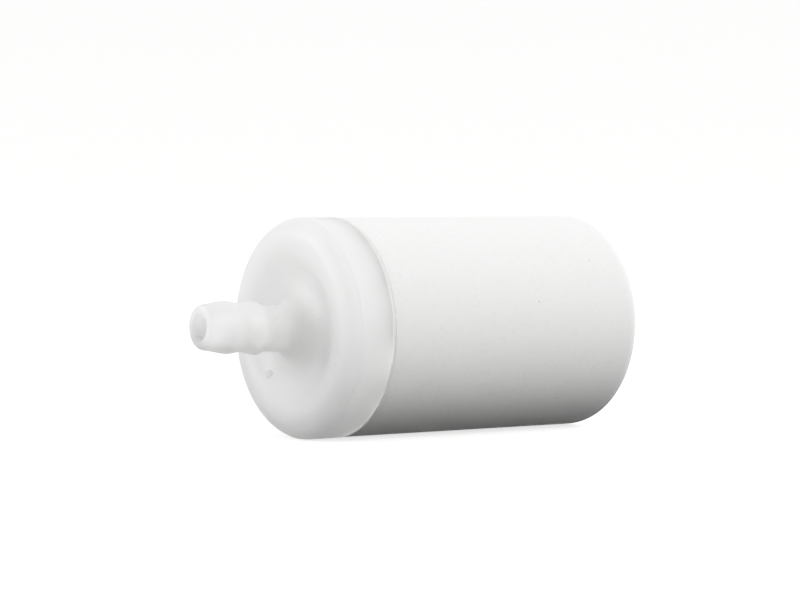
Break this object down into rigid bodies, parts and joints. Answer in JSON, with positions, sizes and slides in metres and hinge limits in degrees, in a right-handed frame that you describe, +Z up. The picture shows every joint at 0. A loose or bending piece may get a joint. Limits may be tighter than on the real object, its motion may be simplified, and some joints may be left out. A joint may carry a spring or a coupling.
{
  "type": "pneumatic muffler",
  "caption": "Small exhaust muffler: a sintered porous plastic cup closed by a moulded cap with a barbed hose nipple.",
  "frame": {"origin": "on the muffler's axis, in the plane of the cap's rim crest, where the nipple stands out of the cap", "axes": "+X along the axis towards the closed end of the cup, nipple along -X, +Z up with the muffler lying on its side"},
  "size_m": [0.0382, 0.018, 0.018],
  "materials": {
    "natural_polypropylene": "satin, milky and translucent, injection moulded",
    "porous_polyethylene": "matte, fine sintered grain",
    "fused_plastic": "melted and resolidified, slightly glossy"
  },
  "bodies": {
    "root": {"barbed_cap": "natural_polypropylene", "porous_sleeve": "porous_polyethylene", "weld_ring": "fused_plastic"}
  },
  "joints": []
}
